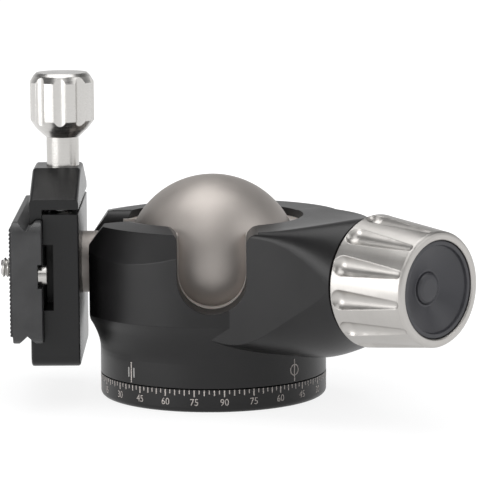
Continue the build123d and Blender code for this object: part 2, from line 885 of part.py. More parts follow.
with BuildPart() as clamp_body:
    with BuildSketch(Plane.XZ):
        with BuildLine():
            low_wall = plate_low_edge - wall_gap
            Polyline(
                (clamp_back_x, clamp_low_z),
                (clamp_face_x, clamp_low_z),
                (clamp_face_x, low_wall + hook_run),
                (clamp_face_x + hook_tip, low_wall + hook_run),
                (hook_start_x, low_wall),
                (clamp_floor_x, low_wall),
                (clamp_floor_x, clamp_split_z),
                (clamp_back_x, clamp_split_z),
                close=True,
            )
        make_face()
    extrude(amount=clamp_half_y, both=True)
    # rounded lower corners, and a soft edge round the back and the face
    fillet(clamp_body.edges().filter_by(Axis.X).group_by(Axis.Z)[0], clamp_corner_r)
    fillet(clamp_body.edges().filter_by(Axis.Y).group_by(Axis.Z)[0], clamp_edge)

    # relief for the stop screws, each side of the boss around the bolt
    with BuildSketch(towards_clamp(clamp_floor_x)):
        for side in (-1, 1):
            with Locations((side * (boss_half + 20), channel_z)):
                Rectangle(40, 2 * channel_half)
    extrude(amount=-channel_depth, mode=Mode.SUBTRACT)
    # bolt, its head and the seat of the stem
    with BuildSketch(towards_clamp(clamp_back_x)):
        with Locations((0, ball_z)):
            Circle(bolt_r + running_fit)
    extrude(amount=20, mode=Mode.SUBTRACT)
    with BuildSketch(towards_clamp(bolt_head_x + bolt_head_h + 0.05)):
        with Locations((0, ball_z)):
            Circle(bolt_head_r + running_fit)
    extrude(amount=10, mode=Mode.SUBTRACT)
    with BuildSketch(towards_clamp(stem_end_x)):
        with Locations((0, ball_z)):
            Circle(stem_r + running_fit)
    extrude(amount=-stem_seat - 1, mode=Mode.SUBTRACT)
    # guide pins, spring pockets and the clamping thread
    with BuildSketch(Plane.XY.offset(guide_pin_low_z)):
        with Locations((guide_pin_x, -guide_pin_y), (guide_pin_x, guide_pin_y)):
            Circle(guide_pin_r + seat_gap)
    extrude(amount=20, mode=Mode.SUBTRACT)
    with BuildSketch(Plane.XY.offset(spring_low_z)):
        with Locations((guide_pin_x, -guide_pin_y), (guide_pin_x, guide_pin_y)):
            Circle(spring_pocket_r)
    extrude(amount=20, mode=Mode.SUBTRACT)
    with BuildSketch(Plane.XY.offset(clamp_screw_low_z - 0.8)):
        with Locations((clamp_screw_x, 0)):
            Circle(clamp_screw_r + running_fit)
    extrude(amount=20, mode=Mode.SUBTRACT)
finish(clamp_body.part, "clamp_body")

with BuildPart() as guide_pins:
    with BuildSketch(Plane.XY.offset(guide_pin_low_z + seat_gap)):
        with Locations((guide_pin_x, -guide_pin_y), (guide_pin_x, guide_pin_y)):
            Circle(guide_pin_r)
    extrude(amount=guide_pin_top_z - guide_pin_low_z)
    chamfer(guide_pins.edges().group_by(Axis.Z)[-1], 0.3)
finish(guide_pins.part, "guide_pins")

with BuildPart() as clamp_jaw:
    with BuildSketch(Plane.XZ):
        with BuildLine():
            high_wall = plate_high_edge + wall_gap
            lip_x = clamp_floor_x - 0.2
            Polyline(
                (clamp_back_x, jaw_low_z),
                (clamp_back_x, clamp_top_z),
                (clamp_face_x, clamp_top_z),
                (clamp_face_x, high_wall - hook_run),
                (clamp_face_x + hook_tip, high_wall - hook_run),
                (hook_start_x, high_wall),
                (lip_x, high_wall),
                (lip_x, jaw_low_z),
                close=True,
            )
        make_face()
    extrude(amount=clamp_half_y, both=True)
    with BuildSketch(Plane.YZ):
        with BuildLine():
            Polyline(
                (-clamp_half_y, 40),
                (clamp_half_y, 40),
                (clamp_half_y, jaw_shoulder_z),
                (jaw_flat_half, clamp_top_z),
                (-jaw_flat_half, clamp_top_z),
                (-clamp_half_y, jaw_shoulder_z),
                close=True,
            )
        make_face()
    extrude(amount=-80, mode=Mode.INTERSECT)
    # bevel along the top edges
    top_faces = clamp_jaw.faces().filter_by(lambda face: face.normal_at().Z > 0.5)
    rim = [e for e in top_faces.edges() if abs(e.tangent_at(0.5).Y) > 0.5]
    fillet(rim, jaw_edge)
    # guide pins, clamping screw and its washer
    with BuildSketch(Plane.XY.offset(40)):
        with Locations((guide_pin_x, -guide_pin_y), (guide_pin_x, guide_pin_y)):
            Circle(guide_pin_r + running_fit)
    extrude(amount=guide_pin_top_z + 0.4 - 40, mode=Mode.SUBTRACT)
    with BuildSketch(Plane.XY.offset(40)):
        with Locations((clamp_screw_x, 0)):
            Circle(clamp_screw_r + running_fit)
    extrude(amount=50, mode=Mode.SUBTRACT)
    with BuildSketch(Plane.XY.offset(clamp_top_z - clamp_washer_t - 0.2)):
        with Locations((clamp_screw_x, 0)):
            Circle(clamp_washer_r + 0.05)
    extrude(amount=10, mode=Mode.SUBTRACT)
finish(clamp_jaw.part, "clamp_jaw")

with BuildPart() as clamp_washer:
    with BuildSketch(Plane.XY.offset(clamp_top_z - clamp_washer_t - 0.18)):
        with Locations((clamp_screw_x, 0)):
            Circle(clamp_washer_r)
            Circle(clamp_screw_r + running_fit, mode=Mode.SUBTRACT)
    extrude(amount=clamp_washer_t)
finish(clamp_washer.part, "clamp_washer")

spring_height = jaw_low_z - spring_low_z - 0.1 - 2 * jaw_spring_wire_r
with BuildPart() as jaw_spring:
    with BuildLine():
        coil = Helix(spring_height / jaw_spring_turns, spring_height, jaw_spring_r)
    with BuildSketch(Plane(origin=coil @ 0, z_dir=coil % 0)):
        Circle(jaw_spring_wire_r)
    sweep(is_frenet=True)
with BuildPart() as jaw_springs:
    for side in (-1, 1):
        with Locations((guide_pin_x, side * guide_pin_y, spring_low_z + 0.05 + jaw_spring_wire_r)):
            add(jaw_spring.part)
finish(jaw_springs.part, "jaw_springs")

shaft_low_z = clamp_top_z - 0.13
with BuildPart() as clamp_screw:
    with BuildSketch(Plane.XZ):
        with BuildLine():
            Polyline(
                (clamp_screw_x, clamp_screw_low_z),
                (clamp_screw_x + clamp_screw_r - 0.4, clamp_screw_low_z),
                (clamp_screw_x + clamp_screw_r, clamp_screw_low_z + 0.4),
                (clamp_screw_x + clamp_screw_r, shaft_low_z),
                (clamp_screw_x + clamp_shaft_r, shaft_low_z),
                (clamp_screw_x + clamp_shaft_r, clamp_knob_low_z + clamp_knob_bore - 0.1),
                (clamp_screw_x, clamp_knob_low_z + clamp_knob_bore - 0.1),
                close=True,
            )
        make_face()
    revolve(axis=Axis((clamp_screw_x, 0, 0), (0, 0, 1)))
finish(clamp_screw.part, "clamp_screw")

clamp_knob_outline = (
    (0, clamp_shaft_r + 0.2),
    (clamp_knob_neck, clamp_knob_end_r - 0.1),
    (clamp_knob_neck + 0.9, clamp_knob_end_r + 0.65),
    (clamp_knob_neck + clamp_knob_cone, clamp_knob_r),
    (clamp_knob_length - clamp_knob_bevel, clamp_knob_r),
    (clamp_knob_length - 0.9, clamp_knob_end_r + 0.9),
    (clamp_knob_length, clamp_knob_end_r),
)
clamp_knob = fluted_knob(
    Plane.XY.offset(clamp_knob_low_z).shift_origin((clamp_screw_x, 0, clamp_knob_low_z)),
    clamp_knob_outline,
    clamp_shaft_r + seat_gap,
    clamp_knob_bore,
    clamp_knob_flutes,
    clamp_flute_r,
    clamp_knob_r + clamp_flute_r - clamp_flute_depth,
    clamp_flute_azimuth,
)
finish(clamp_knob, "clamp_knob")

# ======================================================================================
# Quick-release plate
# ======================================================================================
with BuildPart() as qr_plate:
    with BuildSketch(Plane.XZ):
        with BuildLine():
            half, corner = plate_half_z, plate_corner
            lower = [
                (plate_bottom_x, half - corner),
                (plate_bottom_x - corner, half),
                (flange_x, half),
                (groove_x, half - groove_depth),
                (groove_x - groove_depth, half),
                (plate_top_x + corner, half),
                (plate_top_x, half - corner),
            ]
            upper_side = [(x, plate_z + z) for x, z in lower]
            lower_side = [(x, plate_z - z) for x, z in reversed(lower)]
            Polyline(*upper_side, *lower_side, close=True)
        make_face()
    extrude(amount=plate_half_y, both=True)
    with BuildSketch(towards_clamp(plate_bottom_x + 5)):
        with Locations((0, plate_z)):
            RectangleRounded(2 * plate_half_y, 2 * plate_half_z, plate_round)
    extrude(amount=20, mode=Mode.INTERSECT)
    # notches for the stop screws
    for side in (-1, 1):
        with BuildSketch(towards_clamp(plate_bottom_x)):
            with Locations((side * (stop_notch_y + 10), stop_z)):
                Rectangle(20, 2 * stop_notch_half)
        extrude(amount=stop_notch_depth, mode=Mode.SUBTRACT)
    # tapped holes for the stop screws
    with BuildSketch(towards_clamp(plate_bottom_x)):
        with Locations((-stop_y, stop_z), (stop_y, stop_z)):
            Circle(stop_shank_r + seat_gap)
    extrude(amount=7, mode=Mode.SUBTRACT)
    # camera screw: hole and the recess for its head
    with BuildSketch(towards_clamp(plate_bottom_x + 1)):
        with Locations((0, plate_z)):
            Circle(camera_screw_r + running_fit)
    extrude(amount=20, mode=Mode.SUBTRACT)
    with BuildSketch(towards_clamp(plate_bottom_x + 1)):
        with Locations((0, plate_z)):
            Circle(camera_head_r + 0.1)
    extrude(amount=1.3 + camera_head_h, mode=Mode.SUBTRACT)
finish(qr_plate.part, "qr_plate")

with BuildPart() as plate_pad:
    pad_back = plate_top_x - seat_gap
    pad_face = plate_top_x - pad_t
    pitch = 2 * pad_half_z / pad_ribs
    with BuildSketch(Plane.XZ):
        with BuildLine():
            outline = [(pad_back, plate_z - pad_half_z)]
            for number in range(pad_ribs):
                low = plate_z - pad_half_z + number * pitch
                outline += [
                    (pad_face + pad_rib_depth, low + 0.12 * pitch),
                    (pad_face, low + 0.3 * pitch),
                    (pad_face, low + 0.7 * pitch),
                    (pad_face + pad_rib_depth, low + 0.88 * pitch),
                ]
            outline.append((pad_back, plate_z + pad_half_z))
            Polyline(*outline, close=True)
        make_face()
    extrude(amount=pad_half_y, both=True)
    with BuildSketch(towards_clamp(pad_back + 5)):
        with Locations((0, plate_z)):
            RectangleRounded(2 * pad_half_y, 2 * pad_half_z, plate_round - 1.5)
    extrude(amount=20, mode=Mode.INTERSECT)
    with BuildSketch(towards_clamp(pad_back + 1)):
        with Locations((0, plate_z)):
            Circle(camera_screw_r + 0.3)
    extrude(amount=5, mode=Mode.SUBTRACT)
finish(plate_pad.part, "plate_pad")

with BuildPart() as stop_screws:
    with BuildSketch(towards_clamp(plate_bottom_x + stop_out)):
        with Locations((-stop_y, stop_z), (stop_y, stop_z)):
            Circle(stop_r)
    extrude(amount=stop_out + stop_notch_depth - seat_gap)
    chamfer(stop_screws.edges().group_by(Axis.X)[-1], 0.3)
    with BuildSketch(towards_clamp(plate_bottom_x)):
        with Locations((-stop_y, stop_z), (stop_y, stop_z)):
            Circle(stop_shank_r)
    extrude(amount=6.8)
finish(stop_screws.part, "stop_screws")

camera_head_x = plate_bottom_x - 0.25
camera_thread_x = pad_face - 0.2    # the thread starts outside the pad; the neck behind is thinner
with BuildPart() as camera_screw:
    with BuildSketch(towards_clamp(camera_head_x)):
        with Locations((0, plate_z)):
            Circle(camera_head_r)
    extrude(amount=camera_head_h)
    with BuildSketch(towards_clamp(camera_head_x - camera_head_h)):
        with Locations((0, plate_z)):
            Circle(camera_neck_r)
    extrude(amount=camera_head_x - camera_head_h - camera_thread_x + 0.5)
    with BuildSketch(towards_clamp(camera_thread_x)):
        with Locations((0, plate_z)):
            Circle(camera_screw_r)
    extrude(amount=camera_thread_x - (pad_face - camera_screw_out))
    chamfer(camera_screw.edges().group_by(Axis.X)[0], 0.5)
    # coin slot
    with BuildSketch(towards_clamp(camera_head_x)):
        with Locations((0, plate_z)):
            Rectangle(12, 1.6)
    extrude(amount=1.0, mode=Mode.SUBTRACT)
finish(camera_screw.part, "camera_screw")
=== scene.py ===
"""Looks of the tripod ball head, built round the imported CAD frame. Metres, +Z up."""

import math

import bpy
import numpy as np
from mathutils import Matrix, Vector


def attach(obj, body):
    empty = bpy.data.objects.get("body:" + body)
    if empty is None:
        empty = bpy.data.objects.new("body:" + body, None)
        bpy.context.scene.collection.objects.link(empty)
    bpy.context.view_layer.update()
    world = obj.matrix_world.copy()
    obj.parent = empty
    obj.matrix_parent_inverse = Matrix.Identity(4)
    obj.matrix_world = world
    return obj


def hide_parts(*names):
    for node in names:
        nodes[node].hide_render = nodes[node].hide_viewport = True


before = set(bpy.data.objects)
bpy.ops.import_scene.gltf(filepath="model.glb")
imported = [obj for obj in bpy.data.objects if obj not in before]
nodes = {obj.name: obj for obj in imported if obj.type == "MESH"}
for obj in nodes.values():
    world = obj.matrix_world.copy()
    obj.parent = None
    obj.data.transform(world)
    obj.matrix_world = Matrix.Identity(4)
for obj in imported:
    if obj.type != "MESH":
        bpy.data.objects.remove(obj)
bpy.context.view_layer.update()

MM = 0.001
BASE_R = 35.8           # the base and the housing's skirt, in millimetres
CAMERA_SCREW_Z = 40.4   # height of the camera screw's axis, in millimetres

X_AXIS, Y_AXIS, Z_AXIS = (1, 0, 0), (0, 1, 0), (0, 0, 1)
ORIGIN = (0, 0, 0)
ARM_AXIS = Vector((1, -1, 0)).normalized()
ARM_POINT = Vector((0, 0, 43.0 * MM))
CLAMP_SCREW_POINT = (-46.95 * MM, 0, 0)
PLATE_POINT = (0, 0, CAMERA_SCREW_Z * MM)
PAN_LOCK_POINT = (0, 0, 10.9 * MM)


# --- node trees --------------------------------------------------------------------------
class Tree:
    """A node tree, with short calls for the nodes that the finishes and the studio share."""

    def __init__(self, tree):
        self.tree = tree
        tree.nodes.clear()

    def add(self, kind, **settings):
        node = self.tree.nodes.new(kind)
        for key, value in settings.items():
            setattr(node, key, value)
        return node

    def link(self, source, target):
        self.tree.links.new(source, target)

    def feed(self, socket, value):
        """Link the socket to another one or give it a plain value. None leaves it as it is."""
        if hasattr(value, "is_linked"):
            self.link(value, socket)
        elif value is not None:
            socket.default_value = value

    def math(self, operation, a, b=None):
        node = self.add("ShaderNodeMath", operation=operation)
        self.feed(node.inputs[0], a)
        self.feed(node.inputs[1], b)
        return node.outputs[0]

    def vector(self, operation, a, b=None):
        """Vector maths: a vector, or the number of a length or a dot product. SCALE has a number for b."""
        node = self.add("ShaderNodeVectorMath", operation=operation)
        self.feed(node.inputs[0], a)
        self.feed(node.inputs["Scale" if operation == "SCALE" else 1], b)
        return node.outputs["Value" if operation in ("LENGTH", "DOT_PRODUCT") else "Vector"]

    def remap(self, value, old, new, shape="LINEAR"):
        """The range old stretched onto the range new, and held at its ends."""
        node = self.add("ShaderNodeMapRange", interpolation_type=shape)
        for name, end in zip(("From Min", "From Max", "To Min", "To Max"), (*old, *new)):
            node.inputs[name].default_value = end
        self.link(value, node.inputs["Value"])
        return node.outputs["Result"]

    def diffuse(self, grey):
        node = self.add("ShaderNodeBsdfDiffuse")
        node.inputs["Color"].default_value = (grey, grey, grey, 1)
        return node.outputs[0]

    def mix_shaders(self, factor, first, second):
        """The first shader where the factor is 0, and the second where it is 1."""
        node = self.add("ShaderNodeMixShader")
        for socket, source in zip(node.inputs, (factor, first, second)):
            self.link(source, socket)
        return node.outputs[0]

    def seen_directly(self):
        """1 for camera, mirror and see-through rays."""
        path = self.add("ShaderNodeLightPath").outputs
        seen = self.math("MAXIMUM", path["Is Camera Ray"], path["Is Glossy Ray"])
        return self.math("MAXIMUM", seen, path["Is Transmission Ray"])


class Finish(Tree):
    """A material with one shader. Its patterns lie in the object's own space, in metres."""

    def __init__(self, name):
        self.material = bpy.data.materials.new(name)
        self.material.use_nodes = True
        super().__init__(self.material.node_tree)
        self.shader = self.add("ShaderNodeBsdfPrincipled")
        output = self.add("ShaderNodeOutputMaterial")
        self.link(self.shader.outputs["BSDF"], output.inputs["Surface"])
        self.position = self.add("ShaderNodeTexCoord").outputs["Object"]

    def set(self, **values):
        """Numbers or links for the shader's sockets, with _ for the spaces in their names."""
        for key, value in values.items():
            self.feed(self.shader.inputs[key.replace("_", " ")], value)

    def noise(self, scale, detail=2.0, vector=None, roughness=0.5):
        node = self.add("ShaderNodeTexNoise")
        node.inputs["Scale"].default_value = scale
        node.inputs["Detail"].default_value = detail
        node.inputs["Roughness"].default_value = roughness
        self.link(vector or self.position, node.inputs["Vector"])
        return node.outputs["Fac"]

    def spread(self, fac, low, high):
        """A noise's middle range stretched to run from low to high."""
        return self.remap(fac, (0.3, 0.7), (low, high))

    def tones(self, fac, dark, light):
        """Colours from dark to light over a noise's middle range."""
        node = self.add("ShaderNodeMix", data_type="RGBA")
        node.inputs["A"].default_value = (*dark, 1)
        node.inputs["B"].default_value = (*light, 1)
        self.link(self.spread(fac, 0, 1), node.inputs["Factor"])
        return node.outputs["Result"]

    def bump(self, height, distance, normal=None):
        node = self.add("ShaderNodeBump")
        node.inputs["Strength"].default_value = 1.0
        node.inputs["Distance"].default_value = distance
        self.link(height, node.inputs["Height"])
        self.feed(node.inputs["Normal"], normal)
        return node.outputs["Normal"]

    def round_edges(self, radius):
        node = self.add("ShaderNodeBevel", samples=6)
        node.inputs["Radius"].default_value = radius
        return node.outputs["Normal"]


# --- finishes ----------------------------------------------------------------------------
def blasted(name, dark, light, metallic, rough, grain=0.00022, depth=0.000004, edge=0.0004, **more):
    """Bead-blasted or anodised metal: fine grain, faint blotches of tone and gloss."""
    n = Finish(name)
    blotch = n.noise(90.0, 3.0)
    fine = n.noise(1.0 / grain)
    gloss = n.math("ADD", n.spread(blotch, -0.02, 0.02), n.spread(fine, rough - 0.03, rough + 0.03))
    n.set(
        Base_Color=n.tones(blotch, dark, light),
        Roughness=gloss,
        Normal=n.bump(fine, depth, n.round_edges(edge)),
        Metallic=metallic,
        **more,
    )
    return n.material


def turned(name, dark, light, point, axis, rough, line=0.00012, depth=0.0000015, pull=0.5, edge=0.0003):
    """Turned metal: fine tool lines that run round an axis, with the gloss drawn out."""
    n = Finish(name)
    axis = tuple(axis)
    away = n.vector("SUBTRACT", n.position, tuple(point))
    along = n.vector("DOT_PRODUCT", away, axis)
    radial = n.vector("SUBTRACT", away, n.vector("SCALE", axis, along))
    rings = n.add("ShaderNodeCombineXYZ")
    n.link(n.math("DIVIDE", along, line), rings.inputs[0])
    n.link(n.math("DIVIDE", n.vector("LENGTH", radial), line), rings.inputs[1])
    lines = n.noise(1.0, 3.0, rings.outputs[0], 0.65)
    blotch = n.noise(120.0)
    tone = n.math("ADD", n.math("MULTIPLY", lines, 0.6), n.math("MULTIPLY", blotch, 0.4))
    n.set(
        Base_Color=n.tones(tone, dark, light),
        Roughness=n.spread(tone, rough - 0.05, rough + 0.06),
        Normal=n.bump(lines, depth, n.round_edges(edge)),
        Tangent=n.vector("NORMALIZE", n.vector("CROSS_PRODUCT", axis, radial)),
        Metallic=1.0,
        Anisotropic=pull,
    )
    return n.material


def plastic(name, dark, light, rough):
    """Machined plastic with faint tool swirl, soft tone changes and a little light inside."""
    n = Finish(name)
    n.set(
        Base_Color=n.tones(n.noise(60.0), dark, light),
        Roughness=n.spread(n.noise(900.0), rough - 0.04, rough + 0.05),
        Normal=n.bump(n.noise(2500.0), 0.000004, n.round_edges(0.0003)),
        Subsurface_Weight=0.05,
        Subsurface_Scale=0.0015,
    )
    return n.material


def rubber(name, dark, light):
    """Black moulded rubber, slightly dusty on its ribs."""
    n = Finish(name)
    dust = n.noise(400.0, 4.0)
    n.set(
        Base_Color=n.tones(dust, dark, light),
        Roughness=n.spread(dust, 0.62, 0.8),
        Normal=n.bump(n.noise(5000.0), 0.00001),
    )
    return n.material


SILVER = (0.42, 0.405, 0.39), (0.56, 0.545, 0.525)
KNOB = (0.44, 0.424, 0.405), (0.51, 0.493, 0.473)
STEEL = (0.44, 0.428, 0.412), (0.55, 0.537, 0.518)
CLAMP_KNOB = STEEL[1], (0.60, 0.587, 0.570)

black = blasted(
    "black_anodised", (0.0105, 0.0101, 0.0105), (0.0137, 0.0132, 0.0136), 0.0, 0.36,
    Specular_IOR_Level=0.32,
)
black_clamp = blasted(
    "black_anodised_fine", (0.0060, 0.0060, 0.0064), (0.0080, 0.0080, 0.0084), 0.0, 0.30,
    grain=0.00012, depth=0.000002, Specular_IOR_Level=0.34,
)
black_plate = blasted(
    "black_anodised_coarse", (0.026, 0.026, 0.0268), (0.052, 0.052, 0.0530), 0.0, 0.40,
    grain=0.0003, depth=0.00002,
)
dial_black = blasted(
    "dial_black", (0.040, 0.040, 0.046), (0.050, 0.050, 0.058), 0.0, 0.38,
    grain=0.0001, depth=0.000001,
)
ball_grey = blasted(
    "ball_bead_blasted", (0.40, 0.366, 0.342), (0.45, 0.415, 0.389), 0.8, 0.48,
    grain=0.00018, depth=0.000005,
)
black_oxide = blasted(
    "black_oxide", (0.022, 0.022, 0.024), (0.032, 0.032, 0.034), 0.3, 0.36, depth=0.000001,
)
spring_steel = blasted(
    "spring_steel", (0.36, 0.355, 0.35), (0.44, 0.435, 0.43), 1.0, 0.3, depth=0.000001,
)
print_pale = blasted(
    "etched_marks", (0.62, 0.56, 0.53), (0.70, 0.64, 0.60), 0.0, 0.55, depth=0.000001,
)
print_grey = blasted(
    "engraved_marks", (0.34, 0.33, 0.32), (0.42, 0.41, 0.40), 0.3, 0.5, depth=0.000001,
)
knob_silver = turned("knob_turned", *KNOB, ARM_POINT, ARM_AXIS, 0.36, depth=0.0000007, pull=0.3, edge=0.0005)
clamp_knob_silver = turned(
    "clamp_knob_turned", *CLAMP_KNOB, CLAMP_SCREW_POINT, Z_AXIS, 0.26, depth=0.0000003, pull=0.3,
)
clamp_shaft = turned("clamp_shaft_turned", *STEEL, CLAMP_SCREW_POINT, Z_AXIS, 0.2, pull=0.3)
pan_silver = turned("pan_knob_turned", *SILVER, PAN_LOCK_POINT, Y_AXIS, 0.25)
arm_steel = turned("arm_steel", *STEEL, ARM_POINT, ARM_AXIS, 0.24)
pin_steel = turned("pin_steel", *STEEL, ORIGIN, Z_AXIS, 0.2)
plate_steel = turned("plate_steel", *STEEL, PLATE_POINT, X_AXIS, 0.22)
insert_steel = turned("insert_steel", *STEEL, ORIGIN, Z_AXIS, 0.28)
raw_aluminium = turned(
    "raw_aluminium", (0.62, 0.62, 0.62), (0.70, 0.70, 0.70), ORIGIN, Z_AXIS, 0.32, line=0.0002,
)
bronze = turned("bronze", (0.52, 0.36, 0.17), (0.62, 0.44, 0.22), ARM_POINT, ARM_AXIS, 0.3)
ivory = plastic("acetal", (0.46, 0.42, 0.39), (0.53, 0.485, 0.45), 0.34)
pad_rubber = rubber("pad_rubber", (0.034, 0.034, 0.035), (0.060, 0.059, 0.060))

FINISHES = {
    black: ("pan_base", "housing"),
    black_plate: ("qr_plate",),
    black_clamp: ("clamp_body", "clamp_jaw"),
    black_oxide: ("retainer_screws", "clamp_bolt"),
    dial_black: ("friction_dial", "dial_button"),
    ball_grey: ("ball",),
    knob_silver: ("main_knob",),
    clamp_knob_silver: ("clamp_knob",),
    clamp_shaft: ("clamp_screw", "clamp_washer"),
    pan_silver: ("pan_lock_knob", "pan_lock_screw"),
    arm_steel: ("lock_spindle", "thrust_washer", "knob_nut", "dial_rod"),
    pin_steel: ("guide_pins",),
    plate_steel: ("stop_screws", "camera_screw"),
    insert_steel: ("thread_insert",),
    spring_steel: ("cup_spring", "disc_springs", "jaw_springs", "pan_retainer"),
    raw_aluminium: ("bearing_plate",),
    bronze: ("arm_bush", "pan_brake_plug", "lock_pusher"),
    ivory: ("pan_washer", "ball_cup", "liner_ring", "brake_shoe"),
    pad_rubber: ("plate_pad",),
}
for material, names in FINISHES.items():
    for name in names:
        obj = nodes[name]
        obj.data.materials.clear()
        obj.data.materials.append(material)


# --- small pieces that the CAD leaves to this file -------------------------------------------
def new_piece(name, vertices, faces, material, body):
    """A piece of this file from points in millimetres, riding on a body."""
    mesh = bpy.data.meshes.new(name)
    mesh.from_pydata([tuple(c * MM for c in v) for v in vertices], [], faces)
    mesh.validate()
    mesh.materials.append(material)
    obj = bpy.data.objects.new(name, mesh)
    bpy.context.collection.objects.link(obj)
    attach(obj, body)
    return obj


MARK_PROUD, MARK_SUNK = 0.03, 0.25      # how far a mark stands out of the metal and reaches in
DIGIT_HEIGHT = 0.7      # height of a digit in the font at size 1
DIGIT_WIDTH = 0.92      # width of the digits, as a share of the font's


class Marks:
    """Gathers thin raised marks round the skirt into one mesh.

    An azimuth is in degrees. From it, x runs to the right and z up, in millimetres.
    """

    def __init__(self):
        self.vertices, self.faces = [], []

    def plate(self, azimuth, points, polygons):
        """Flat polygons, anticlockwise seen from outside, made into a thin curved plate."""
        start, count = len(self.vertices), len(points)
        for r in (BASE_R + MARK_PROUD, BASE_R - MARK_SUNK):
            for x, z in points:
                angle = math.radians(azimuth) + x / BASE_R
                self.vertices.append((r * math.cos(angle), r * math.sin(angle), z))
        edges = {}
        for polygon in polygons:
            self.faces.append(tuple(start + i for i in polygon))
            self.faces.append(tuple(start + count + i for i in reversed(polygon)))
            for edge in zip(polygon, polygon[1:] + polygon[:1]):
                edges[edge] = True
        for i, j in edges:
            if (j, i) not in edges:
                self.faces.append((start + j, start + i, start + count + i, start + count + j))

    def outline(self, azimuth, points):
        self.plate(azimuth, points, [tuple(range(len(points)))])

    def bar(self, azimuth, x, low, high, width):
        left, right = x - width / 2, x + width / 2
        self.outline(azimuth, [(left, low), (right, low), (right, high), (left, high)])

    def ring(self, azimuth, z, radius, width, segments=40):
        inner, outer = radius - width / 2, radius + width / 2
        for i in range(segments):
            a, b = (2 * math.pi * k / segments for k in (i, i + 1))
            corners = [(inner, a), (outer, a), (outer, b), (inner, b)]
            self.outline(azimuth, [(r * math.cos(t), z + r * math.sin(t)) for r, t in corners])

    def text(self, azimuth, words, low, height):
        """Words of a built-in font, with their middle at the azimuth."""
        curve = bpy.data.curves.new("number", "FONT")
        curve.body = words
        curve.size = 1.0
        curve.align_x = "CENTER"
        curve.resolution_u = 3
        holder = bpy.data.objects.new("number", curve)
        mesh = bpy.data.meshes.new_from_object(holder)
        points = np.empty(len(mesh.vertices) * 3)
        mesh.vertices.foreach_get("co", points)
        grow = height / DIGIT_HEIGHT
        flat = [(p[0] * grow * DIGIT_WIDTH, low + p[1] * grow) for p in points.reshape(-1, 3)]
        self.plate(azimuth, flat, [tuple(poly.vertices) for poly in mesh.polygons])
        bpy.data.objects.remove(holder)
        bpy.data.curves.remove(curve)
        bpy.data.meshes.remove(mesh)


# The degree scale on the base. It counts 90, 75 ... 0 and back, twice round.
SCALE_ZERO = -84.2      # azimuth of the 90 that faces the viewer
SCALE_TOP_Z = 7.12
TICK_STEP, NUMBER_STEP = 2.5, 15
TICK_SIZES = {"long": (2.15, 0.42), "middle": (1.75, 0.38), "short": (1.25, 0.34)}
NUMBER_LOW_Z, NUMBER_HEIGHT = 2.3, 2.15

scale = Marks()
for i in range(int(360 / TICK_STEP)):
    kind = "long" if i % 6 == 0 else "middle" if i % 2 == 0 else "short"
    length, width = TICK_SIZES[kind]
    scale.bar(SCALE_ZERO + i * TICK_STEP, 0, SCALE_TOP_Z - length, SCALE_TOP_Z, width)
for i in range(int(360 / NUMBER_STEP)):
    value = 90 - NUMBER_STEP * abs((i + 6) % 12 - 6)
    scale.text(SCALE_ZERO + NUMBER_STEP * i, str(value), NUMBER_LOW_Z, NUMBER_HEIGHT)
new_piece("scale_marks", scale.vertices, scale.faces, print_pale, "base")

# The index marks on the housing's skirt: a line between two short ones, and a line through a ring.
LEFT_INDEX, RIGHT_INDEX = -135, -45
INDEX_LOW_Z = 7.85

index = Marks()
index.bar(LEFT_INDEX, 0, INDEX_LOW_Z, high=14.3, width=0.42)
index.bar(RIGHT_INDEX, 0, INDEX_LOW_Z, high=14.9, width=0.36)
index.ring(RIGHT_INDEX, z=11.5, radius=1.65, width=0.36)
new_piece("index_marks", index.vertices, index.faces, print_pale, "housing")
side_marks = Marks()
for x in (-1.15, 1.15):
    side_marks.bar(LEFT_INDEX, x, low=9.5, high=12.6, width=0.6)
new_piece("index_side_marks", side_marks.vertices, side_marks.faces, print_grey, "housing")


def threaded_screw(name, material, body, replaced):
    """Camera screw with its thread cut: a grid wound round -X from the head to the tip."""
    around, rows_per_turn, pitch = 40, 8, 1.27
    crest, root, neck, tip_r = 3.175, 2.55, 2.4, 2.1
    head_x, head_r, head_h, bevel = -52.35, 8.5, 1.8, 0.3
    thread_x, tip_x = -62.3, -67.0
    flank, peak = 4.4, 1.6                  # steepness of a tooth's sides, and where they would meet
    tip_taper, tip_drop = 0.7, 0.35         # length of the thread's run-out, and how far its root falls
    stations = [(head_x, 0.0), (head_x, head_r - bevel), (head_x - bevel, head_r)]
    stations += [(head_x - head_h + bevel, head_r), (head_x - head_h, head_r - bevel)]
    stations += [(head_x - head_h, neck), (thread_x + bevel, neck)]
    x = thread_x
    while x > tip_x + 0.01:
        stations.append((x, None))
        x -= pitch / rows_per_turn
    stations += [(tip_x, tip_r), (tip_x, 0.0)]
    vertices, faces = [], []
    for x, r in stations:
        for k in range(around):
            turn = 2 * math.pi * k / around
            radius = r
            if r is None:
                phase = (x / pitch + k / around) % 1.0
                tooth = max(0.0, min(1.0, peak - abs(phase - 0.5) * flank))
                taper = min(1.0, (x - tip_x) / tip_taper)
                radius = root + (crest - root) * tooth * taper - tip_drop * (1 - taper)
            vertices.append((x, radius * math.cos(turn), CAMERA_SCREW_Z + radius * math.sin(turn)))
    for i in range(len(stations) - 1):
        for k in range(around):
            m = (k + 1) % around
            a, b = i * around, (i + 1) * around
            faces.append((a + k, b + k, b + m, a + m))
    obj = new_piece(name, vertices, faces, material, body)
    weld = obj.modifiers.new("weld", "WELD")
    weld.merge_threshold = 0.000001
    obj.data.shade_smooth()
    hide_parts(replaced)


threaded_screw("camera_screw_threaded", plate_steel, "camera_screw", "camera_screw")


